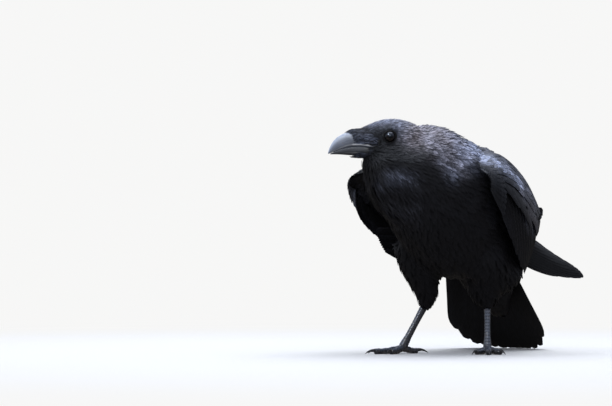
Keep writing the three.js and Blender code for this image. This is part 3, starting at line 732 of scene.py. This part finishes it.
def vanes(name, material, line, up, half, point, patch, tone=None, slot="plumage", rows=6,
          cols=5, cup=0.16, thick=0.00016, shoulder=0.4, shaft=0.0, narrow=(1, 1),
          cell=(0.0015, 0.0015), low=None):
    """Feathers as one mesh. line and up give each quill's places, and the way it faces, at root,
    middle and tip; half is its half width, point how pointed it is, patch where its bake is, and
    tone how pale and blue its painted sheen is, if that is not the plumage's painted sheen at the
    places that it covers."""
    count = len(half)
    r = np.array({4: (0, 0.4, 0.78, 1), 6: (0, 0.2, 0.45, 0.7, 0.89, 1)}.get(rows)
                 or np.linspace(0, 1, rows) ** 0.85)[:, None, None]
    bend = (2 * (r - 0.5) * (r - 1), 4 * r * (1 - r), 2 * r * (r - 0.5))
    slope = (4 * r - 3, 4 - 8 * r, 4 * r - 1)
    quill = sum(w * p for w, p in zip(bend, line))
    along = unit(sum(w * p for w, p in zip(slope, line)))
    side = unit(np.cross(along, sum(w * p for w, p in zip(bend, up))))
    face = np.cross(side, along)
    swell = np.clip(r / 0.4, 0, 1)
    taper = np.clip((r - shoulder) / (1 - shoulder), 0, 1)
    sharp = point[None, :, None]
    width = (1 - sharp) * np.sqrt(1 - 0.8 * taper**3) + sharp * (1 - 0.9 * taper**1.3)
    width = width * (0.3 + 0.7 * swell * (2 - swell)) * half[None, :, None]
    c = np.linspace(-1, 1, cols) if isinstance(cols, int) else np.array(cols, float)
    cols = len(c)
    flat = np.where(c < 0, c * narrow[0], c * narrow[1])[None, None, :, None]
    c = c[None, None, :, None]
    width, quill, along, side, face = (
        one[:, :, None] for one in (width, quill, along, side, face)
    )
    drop = face * cup + along * 0.55 * taper[..., None]
    top = quill + side * width * flat - drop * width * c * c
    top += face * shaft * (np.abs(c) < 0.01) * (1 - 0.7 * r[:, :, None])
    under = quill - face * (thick + 0.6 * shaft)
    layers = [one.transpose(1, 0, 2, 3).reshape(count, -1, 3) for one in (top, under)]
    shape = np.concatenate(layers, axis=1)
    if low is not None:
        shape[..., 2] = np.maximum(shape[..., 2], low)
    size = shape.shape[1]
    body = rows * cols
    faces = []
    for i in range(rows - 1):
        for j in range(cols - 1):
            k = i * cols + j
            faces.append([k, k + 1, k + 1 + cols, k + cols])
        left, right = i * cols, i * cols + cols - 1
        faces.append([body + i, left, left + cols, body + i + 1])
        faces.append([right, body + i, body + i + 1, right + cols])
    faces.append([*range(cols - 1, -1, -1), body])
    faces.append([*range(body - cols, body), body + rows - 1])
    ring = np.concatenate(faces)
    starts = np.cumsum([0] + [len(one) for one in faces])
    across = np.concatenate([np.tile(c.ravel(), rows), np.zeros(rows)])
    length = np.concatenate([np.repeat(r.ravel(), cols), r.ravel()])
    mesh = bpy.data.meshes.new(name)
    mesh.vertices.add(count * size)
    mesh.vertices.foreach_set("co", shape.ravel())
    mesh.loops.add(count * len(ring))
    mesh.loops.foreach_set("vertex_index", (ring + np.arange(count)[:, None] * size).ravel())
    mesh.polygons.add(count * len(faces))
    begins = starts[:-1] + np.arange(count)[:, None] * len(ring)
    mesh.polygons.foreach_set("loop_start", begins.ravel())
    mesh.update(calc_edges=True)
    spread = np.stack([across, 2 * length - 1], axis=1)[ring] * cell
    layer = mesh.uv_layers.new(name="OFBake")
    layer.data.foreach_set("uv", (patch[:, None] + spread).ravel())
    lot = np.repeat(chance.random(count), size)
    tones = [painted_sheen_at(one) for one in line] if tone is None else (tone, tone, tone)
    first, last = np.clip(1 - 2 * length, 0, 1), np.clip(2 * length - 1, 0, 1)
    share = np.stack([first, 1 - first - last, last])[:, None, :, None]
    tone = sum(w * one[:, None] for w, one in zip(share, tones))
    marked(mesh, np.tile(across, count), np.tile(length, count), lot, tone.reshape(-1, 2))
    piece = placed(name, mesh)
    only(piece)
    bpy.ops.object.shade_smooth_by_angle(angle=math.radians(70))
    mesh.materials.append(material)
    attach(piece, "root")
    return piece


black_coat = barbed("black_plumage", 0.5, 0.14, (0.0042, 0.0038, 0.0042))
glossy_coat = barbed("glossy_plumage", 0.44, 0.25, (0.0045, 0.0045, 0.0055))
eyes = [eye_frame(side)[0] for side in (1, -1)]


def round_eyes(places, way):
    """Feathers beside an eye part round it, and how far from its rim each place is."""
    rim = np.full(len(places), 1.0)
    for eye in eyes:
        local = (places - eye) @ head_axes * (0, 1, 1)
        flat = np.linalg.norm(local, axis=1)
        near = np.abs((places - eye) @ head_axes[:, 0]) < 0.014
        push = np.clip(1 - (flat - 0.0088) / 0.008, 0, 1.2) * near
        way = way + 1.4 * push[:, None] * (unit(local) @ head_axes.T)
        rim = np.where(near, np.minimum(rim, flat), rim)
    return way, rim


def lying(places, patch, lie_of, height=1.0):
    """The quills of feathers rooted at these places of the skin: their lines, ways up, sizes."""
    way, length, half, _, depth, point = np.split(lie_of, (3, 4, 5, 6, 7), axis=1)
    way, _ = round_eyes(places, way)
    swirl = np.array([noise.noise_vector(Vector(spot) * 75)[:] for spot in places.tolist()])
    shaggy = np.clip(3 * point - 2, 0, 1) * np.clip(depth / 2 - 1, 0, 1)
    way = way + swirl * (0.12 + 0.45 * shaggy)
    depth = depth * (1 + 0.7 * shaggy * swirl[:, :1])
    length = length / 1000 * (0.85 + 0.3 * chance.random(length.shape))
    depth = depth / 1000 * (0.7 + 0.6 * chance.random(length.shape)) * height
    spot, face = on_skin(places)
    way = way + 0.1 * chance.standard_normal(way.shape)
    step = unit(way - face * (way * face).sum(axis=1, keepdims=True))
    line, up = [spot - 0.0004 * face], [unit(face - 0.35 * step)]
    for lift in (0.6, 1.0):
        spot, face = on_skin(spot + step * length / 2)
        step = unit(way - face * (way * face).sum(axis=1, keepdims=True))
        line.append(spot + face * depth * lift)
        up.append(face)
    half = half[:, 0] / 1000 * (0.85 + 0.3 * chance.random(len(half)))
    return line, up, half, np.clip(point[:, 0], 0, 1), patch


roots, patches = scattered(260000)
lies = lie_at(roots)
_, rim = round_eyes(roots, lies[:, :3])
horn = [BVHTree.FromObject(one, bpy.context.evaluated_depsgraph_get())
        for one in (upper_bill, lower_bill)]


def outside(tree, spot, room):
    near, normal, _, _ = tree.find_nearest(spot)
    return (Vector(spot) - near).dot(normal) > room


clear = [all(outside(tree, spot, 0.0005) for tree in horn) for spot in roots.tolist()]
keep = (rim > 0.0092) & np.array(clear)
roots, patches, lies = roots[keep], patches[keep], lies[keep]
small = lies[:, 3] < 12
_, facing = on_skin(roots)
inside = [hull.ray_cast(spot, way, 0.012) for spot, way in
          zip((roots - 0.0004 * facing).tolist(), (-facing).tolist())]
thin = np.array([one[0] is not None for one in inside]) & ~small
lies[thin] *= (1, 1, 1, 0.65, 1, 1, 0.5, 1)
line, up, *rest = lying(roots, patches, lies)


def batch(name, chosen, material, **shape):
    chosen = np.flatnonzero(chosen)
    share = [one[chosen] for one in line], [one[chosen] for one in up]
    vanes(name, material, *share, *(one[chosen] for one in rest), **shape)


body = (roots - zero) * 1000
batch("coat_head", small, glossy_coat, rows=4, cols=3)
batch("coat_neck", ~small & (body[:, 1] < -60) & (body[:, 2] > 200), black_coat)
batch("coat_breast", ~small & (body[:, 1] < -60) & (body[:, 2] <= 200), black_coat)
batch("coat_back", ~small & (body[:, 1] >= -60) & (body[:, 2] > 190), glossy_coat)
batch("coat_belly", ~small & (body[:, 1] >= -60) & (body[:, 2] <= 190), black_coat)

# ------------------------------------------------------------------ bristles of the face
# Stiff narrow bristles lie forwards over the nostrils, on the bill's upper half, and a shorter
# beard lies forwards below its root. Both are rooted in the skin where the horn begins.
def tufts(name, stations, count, root, tip, angles, squares, proud, long_at, pale):
    angle = np.radians(chance.uniform(*angles, count))
    far = chance.random(count)
    lean = np.exp(-(((np.degrees(angle) - long_at) / 38) ** 2))
    start = chance.uniform(*root, count)
    reach = tip[0] + (tip[1] - tip[0]) * (0.62 * lean + 0.38 * far)
    end = np.minimum(start + chance.uniform(1.3, 2.0, count), reach) / (len(stations) - 1)
    start = start / (len(stations) - 1)
    line, up = [], []
    for share, lift in zip((0, 0.5, 1), proud):
        run = start + (end - start) * share
        drift = angle + 0.12 * share * chance.standard_normal(count)
        rise = lift * (0.6 + 0.8 * chance.random(count))
        spot = horn_at(stations, run, drift, lift=rise, **squares)
        centre = horn_at(stations, run, drift, lift=-3.0, **squares)
        line.append(from_head(spot))
        up.append(unit(spot - centre) @ head_axes.T)
    half = chance.uniform(0.00035, 0.0006, count)
    # each bristle gets a random painted sheen, up to pale, and mostly blue
    tone = np.stack([chance.uniform(0.0, pale, count), grown(0.9, 0.9, count)], axis=1)
    patch = patch_at(line[0])
    vanes(name, black_coat, line, up, half, np.ones(count), patch, tone, cols=3, cup=0.3)


tufts("nasal_bristles", UPPER, 1000, (0.15, 2.4), (2.75, 4.1), (-9, 189), UPPER_FORM,
      (1.2, 2.4, 0.7), 90, 0.3)
tufts("beard", LOWER, 420, (0.7, 2.0), (2.2, 3.6), (-158, -22), LOWER_FORM, (0.4, 2.2, 2.4),
      -90, 0.12)
for hand, above, below in (("left", (-14, 45), (-50, 22)), ("right", (135, 194), (158, 230))):
    tufts(f"loral_bristles_{hand}", UPPER, 190, (0.0, 0.9), (1.2, 2.2), above, UPPER_FORM,
          (0.5, 1.5, 0.5), 90, 0.08)
    tufts(f"gape_bristles_{hand}", LOWER, 150, (0.1, 0.9), (1.1, 1.9), below, LOWER_FORM,
          (0.2, 1.0, 0.4), -60, 0.05)

# ------------------------------------------------------------------ wings
# Each wing hangs loose from the back. Rows of round coverts lie over its flesh like tiles, and
# the long stiff flight feathers come out from under them: secondaries down to the hem, tertials
# over those at the rear, and the primaries folded to a point.
WING_TIP = np.array((70, 340, 101.0))
WING_ROOT = [(38, -54, 268), (36, -8, 284), (42, 50, 269), (47, 104, 239), (58, 160, 201)]
SHOULDER = [(76, -66, 252), (88, -18, 242), (93, 42, 216), (82, 102, 199), (62, 168, 196)]
HEM = [(84, -62, 228), (95, -22, 178), (88, 42, 145), (70, 101, 148), (60, 166, 190)]
BLADE_TOP = [(79, 0, 182), (65, 112, 165), (57, 222, 145), (68, 336, 121)]
BLADE_HEM = [(80, 14, 139), (73, 97, 120), (71, 200, 107), (70, 341, 95)]

# The right wing, -1, is swung out from its tip, and its hem is drawn up where the left one sags.
SWING = {1: 0, -1: math.radians(6.5)}
SAG = {1: 26, -1: -11}


def swung(places, side):
    spin = np.array(Matrix.Rotation(SWING[side], 3, "Z"))
    return (places - WING_TIP) @ spin.T + WING_TIP


def wing_at(side, s, t):
    """Places on a wing, in millimetres: s runs from its front edge to the rear, and t from the
    back, over the shoulder line, down to the hem."""
    root = through(WING_ROOT, s)
    low = through(HEM, s)
    low[:, 2] -= SAG[side] * np.sin(np.pi * s)
    shoulder, low = swung(through(SHOULDER, s), side), swung(low, side)
    t = t[:, None]
    place = root * 2 * (t - 0.5) * (t - 1) + shoulder * 4 * t * (1 - t) + low * 2 * t * (t - 0.5)
    return place * (side, 1, 1)


def blade_at(side, s, t):
    top, hem = through(BLADE_TOP, s), through(BLADE_HEM, s)
    place = top + (hem - top) * t[:, None]
    place[:, 0] += 5 * np.sin(np.pi * t) * (1 - s)
    return swung(place, side) * (side, 1, 1)


def flesh_half(s, t):
    front = np.sqrt(1 - (1 - np.clip(8 * s, 0, 1)) ** 2)
    hem = 8.5 - 6.8 * np.clip(t, 0, 1) ** 1.5
    return hem * (1 - 0.8 * np.clip(s, 0, 1) ** 1.5) * front + 0.4


def raised(sheet, side, s, t, lift):
    """Places lifted off a curved sheet, outwards from the body, and the way it faces there."""
    e = 1e-3
    ahead = sheet(side, s + e, t) - sheet(side, s - e, t)
    down = sheet(side, s, t + e) - sheet(side, s, t - e)
    face = unit(np.cross(down, ahead)) * side
    return at(*(sheet(side, s, t) + face * np.asarray(lift)[:, None])), face


def quills(sheet, side, start, end, lift, sag=0.0):
    """Lines of feathers between places of a sheet; lift gives root, middle and tip heights."""
    start, end = np.array(start, float), np.array(end, float)
    line, up = [], []
    for share, height in zip((0, 0.5, 1), lift):
        s, t = start + (end - start) * share
        t = t + sag * 4 * share * (1 - share)
        spot, face = raised(sheet, side, s, t, height)
        line.append(spot)
        up.append(face)
    return line, up


def cells(count):
    """Where each of these large feathers has its own patch of the bake, and the patch's half."""
    across = math.ceil(math.sqrt(count * 3))
    down = math.ceil(count / across)
    number = np.arange(count)
    patch = np.stack([(number % across + 0.5) / across, (number // across + 0.5) / down], axis=1)
    return patch, (0.46 / across, 0.46 / down)


def quilled(name, line, up, half, point, **shape):
    patch, cell = cells(len(half))
    return vanes(name, quill_black, line, up, half, point, patch, slot="flight_feathers",
                 cell=cell, cols=BROAD, **shape)


def joined(*rows):
    return [np.concatenate(part) for part in zip(*rows)]


quill_black = barbed("flight_black", 0.5, 0.07, (0.0045, 0.0043, 0.0046), 0.02)
BROAD = (-1, -0.72, -0.4, -0.07, 0, 0.07, 0.4, 0.72, 1)
for side, hand in ((1, "left"), (-1, "right")):
    # rows of coverts: where each row starts, how many, how far each reaches, its half width
    parts = []
    for t, count, reach, drop, half, proud in (
        (0.20, 22, 0.13, 0.05, 5.6, 2.6), (0.25, 22, 0.13, 0.05, 5.6, 2.4),
        (0.30, 23, 0.12, 0.05, 5.4, 2.2), (0.35, 23, 0.12, 0.05, 5.4, 2.0),
        (0.40, 23, 0.12, 0.055, 5.4, 1.9), (0.45, 22, 0.13, 0.06, 5.8, 1.7),
        (0.50, 18, 0.17, 0.08, 7.2, 1.4), (0.55, 16, 0.24, 0.17, 9.0, 1.0),
    ):
        s = grown(-0.01, 0.9, count, 0.008)
        start = np.array([s, t + grown(0, 0, count, 0.008)])
        end = start + [reach * grown(1, 1, count, 0.08), drop * grown(1, 1, count, 0.2)]
        end[0] = np.minimum(end[0], 1.0)
        flesh = flesh_half(*start), flesh_half(*end)
        lift = flesh[0] - 2.2, np.mean(flesh, axis=0) + 0.7 * proud, flesh[1] + proud
        line, up = quills(wing_at, side, start, end, lift)
        wide = half / 1000 * grown(1, 1, count, 0.1) * (1 - 0.25 * s)
        parts.append((np.stack(line, 1), np.stack(up, 1), wide, grown(0.05, 0.05, count)))
    # two rows of small ones wrap round the leading edge
    for count, reach, half, proud in ((15, 0.12, 5.4, 0.4), (14, 0.08, 4.8, 1.0)):
        t = grown(0.1, 0.97, count, 0.01)
        line, up = [], []
        for s, slip, height in ((0.07, -0.02, -1), (0.0, 0, 0), (reach, 0.03, 1)):
            s = np.full(count, s)
            rise = flesh_half(s, t) + proud * (1 if side > 0 else 0.3)
            spot, face = raised(wing_at, side, s, t + slip, height * rise)
            ahead = unit(wing_at(side, s - 0.01, t) - wing_at(side, s, t))
            line.append(spot)
            up.append(unit(face * height + ahead * (1 - abs(height) * 0.8)))
        wide = half / 1000 * grown(1, 1, count, 0.1)
        parts.append((np.stack(line, 1), np.stack(up, 1), wide, grown(0.05, 0.05, count)))
    line, up, wide, point = joined(*parts)
    line, up = line.transpose(1, 0, 2), up.transpose(1, 0, 2)
    vanes(f"coverts_{hand}", glossy_coat, line, up, wide, point, patch_at(line[0]), cols=7,
          cup=0.14)

    # secondaries: the inner ones lie over the outer ones, and tertials over the inner ones
    count = 15
    start = grown(-0.02, 0.6, count), grown(0.56, 0.5, count)
    hang = 0.02 * (side > 0) * np.sin(np.pi * grown(0, 0.75, count))
    end = grown(0.2, 0.86, count), hang + grown(0.99, 1.01, count, 0.004)
    pile = grown(-1.6, 1.6, count)
    line, up = quills(wing_at, side, start, end, (pile * 0.6, pile + 0.5, pile * 0.4), sag=0.03)
    narrow = (1, 0.62) if side > 0 else (0.62, 1)
    quilled(f"secondaries_{hand}", line, up, grown(0.0135, 0.0115, count),
            grown(0.12, 0.2, count), rows=12, cup=0.1, shaft=0.0005, narrow=narrow, shoulder=0.74)
    count = 5
    start = grown(0.5, 0.62, count), grown(0.52, 0.3, count)
    end = grown(0.97, 1.0, count), grown(0.86, 0.3, count)
    pile = grown(1.2, 3.2, count)
    line, up = quills(wing_at, side, start, end, (pile + 2, pile + 2.2, pile), sag=0.02)
    quilled(f"tertials_{hand}", line, up, grown(0.0125, 0.01, count), grown(0.1, 0.3, count),
            rows=12, cup=0.13, shaft=0.0005, narrow=narrow, shoulder=0.7)

    # primaries: folded under the secondaries, each outer one below the one before
    tips = np.array((0.68, 0.77, 0.85, 0.92, 0.96, 0.985, 1.0, 0.975, 0.9, 0.78))
    count = len(tips)
    start = grown(0.0, 0.03, count), grown(0.2, 0.85, count)
    end = tips, grown(0.12, 0.8, count)
    pile = grown(2.8, -2.8, count)
    line, up = quills(blade_at, side, start, end, (pile * 0.6, pile, pile * 0.5))
    up = [unit(one + (0, 0, 0.3)) for one in up]
    primaries = quilled(f"primaries_{hand}", line, up, grown(0.0125, 0.012, count),
                        grown(0.1, 0.1, count), rows=14, cup=0.08, shaft=0.0006, narrow=narrow,
                        shoulder=0.72)
    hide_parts(f"wing_{hand}_primaries", f"wing_{hand}_secondaries")

# ------------------------------------------------------------------ tail
# Twelve long stiff feathers fan out from the rump. The middle pair is the longest and lies on
# top, each further pair is a little shorter and lies below, and the lowest edge is on the floor.
TAIL_ROOT = np.array((-9, 92, 160.0))
tail_turn = np.array(
    Matrix.Rotation(math.radians(4.4), 3, "Z")
    @ Matrix.Rotation(math.radians(-43), 3, "X")
    @ Matrix.Rotation(math.radians(6), 3, "Y")
)


def tail_at(side, s, t):
    share = 2 * s - 1
    angle = np.radians(11) * share
    reach = 236 * (1 - 0.09 * share**2 - 0.2 * share**6)
    radius = 16 + (reach - 16) * t
    flat = [radius * np.sin(angle) + 36 * share, radius * np.cos(angle)]
    place = np.stack([*flat, -9 * share**2 * (0.25 + 0.75 * t)], axis=1)
    return place @ tail_turn.T + TAIL_ROOT


count = 12
s = grown(0.055, 0.945, count)
middle_out = np.abs(s - 0.5) * 2
start = 0.5 + (s - 0.5) * 0.9, grown(-0.03, -0.03, count)
end = s, grown(1, 1, count, 0.006)
pile = 1.6 - 3.4 * middle_out
line, up = quills(tail_at, -1, start, end, (pile, pile * 0.8, pile * 0.35))
rectrices = quilled("tail_feathers", line, up, grown(0.016, 0.016, count),
                    grown(0.0, 0.0, count), rows=14, cup=0.07, shaft=0.0007, shoulder=0.74,
                    low=zero[2] + 0.0002)
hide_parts("tail")

# ------------------------------------------------------------------ legs
# Bare black legs: horny plates like roof tiles down the front of each shank and along the top
# of each toe, a fine net of scales behind, pads below, and a curved claw out of each toe's end.

# Each foot has its place, the way it points and 1 or -1 for its side; each toe its length, the
# way it points and the length of its claw.
FEET = {"left": ((46, 8), 22, 1), "right": ((-68, -27), -32, -1)}
TOES = {1: (25, 178, 20), 2: (33, -27, 15), 3: (45, 2, 17), 4: (34, 31, 14)}

scaly, shader, place = finish("leg_scales", roughness=0.36, specular_ior_level=0.5)
plate = place.held("plate")
step, front = plate.part("X"), plate.part("Y")
net = place.node("ShaderNodeTexVoronoi", {"Vector": place, "Scale": 620.0}, feature="F1")
worn = place.noise(260.0, 4.0)
skin_tone = worn.blend((0.008, 0.009, 0.012), (0.03, 0.033, 0.042))
# painted highlight: the plates that face forwards on the shanks and upwards on the toes are
# painted paler
painted_highlight = (step.between(0.1, 0.8) * front.between(0.45, 1.0)).clamp()
colour = painted_highlight.blend(skin_tone, (0.09, 0.105, 0.14))
dusty = (place.noise(140.0, 3.0).between(0.5, 0.75) * 0.5).clamp()
colour = dusty.blend(colour, (0.09, 0.075, 0.07))
feed(shader, base_color=colour, roughness=0.14 + 0.3 * worn,
     normal=relief(net * (1.2 - front) + worn * 0.4, 0.0004, 0.8))
claw_horn, shader, place = finish("claw_horn", roughness=0.28, specular_ior_level=0.5)
grain = place.held("grain")
streaks = grain.stretched(2.0, 8.0, 8.0).noise(2.0, 4.0)
colour = streaks.blend((0.006, 0.006, 0.007), (0.035, 0.035, 0.038))
feed(shader, base_color=colour, normal=relief(streaks, 0.0003, 0.5))


def foot_place(hand, turn=0):
    """The turn of a foot, or of one of its toes, and where the foot's joint is above the floor."""
    (x, y), heading, mirror = FEET[hand]
    spin = Matrix.Rotation(math.radians(heading + turn * mirror), 3, "Z")
    return np.array(spin), np.array((x, y, 0.0))


for hand in FEET:
    bare = [f"tarsus_{hand}", *(f"toe_{hand}_{number}" for number in TOES)]
    foot = moulded(f"foot_{hand}", bare, 0.0006, 5)
    spots = points_of(foot.data)
    normals = points_of(foot.data, "normal")
    spin, joint = foot_place(hand)
    local = ((spots - zero) * 1000 - joint) @ spin
    normal = normals @ spin
    # how far each place is from its plate's near edge, and how much it faces the plates' side
    shank = local[:, 2] > 11.5
    front = np.clip(-normal[:, 1] * 1.3 + 0.1, 0, 1)
    reach = np.hypot(local[:, 0], local[:, 1])
    run = np.where(shank, local[:, 2] * 1.04 / 4.6, reach / 2.7)
    front = np.where(shank, front, np.clip(normal[:, 2] * 1.4 - 0.1, 0, 1))
    step = run - np.floor(run)
    step = np.where(shank, 1 - step, step)
    tile = np.clip(step / 0.75, 0, 1) ** 0.7 * np.clip((1 - step) / 0.1, 0, 1)
    spots += normals * (0.00034 * (tile - 0.45) * front)[:, None]
    spots[:, 2] = np.maximum(spots[:, 2], zero[2] + 0.00016)
    foot.data.vertices.foreach_set("co", spots.ravel())
    hold(foot.data, "plate", np.stack([tile, front, reach / 50], axis=1))
    foot.data.materials.append(scaly)
    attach(foot, "root")
    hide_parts(*bare)
    for number, (length, turn, claw) in TOES.items():
        share = np.linspace(0, 1, 6)
        thick = 2.5 * (1 - share) ** 0.8 + 0.3
        rise = 4.3 + 2.1 * np.sin(np.pi * share * 0.75) - 4.9 * share**2
        back = 2 - length - (claw + 2) * share
        stations = np.stack([back, rise, thick * 0.72, thick, thick], axis=1)
        spin, joint = foot_place(hand, turn)
        nail = sheath(f"claw_{hand}_{number}_horn", stations, 26, 18, place=(spin, joint))
        low = points_of(nail.data)
        low[:, 2] = np.maximum(low[:, 2], zero[2] + 0.00015)
        nail.data.vertices.foreach_set("co", low.ravel())
        nail.data.materials.append(claw_horn)
        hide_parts(f"claw_{hand}_{number}")
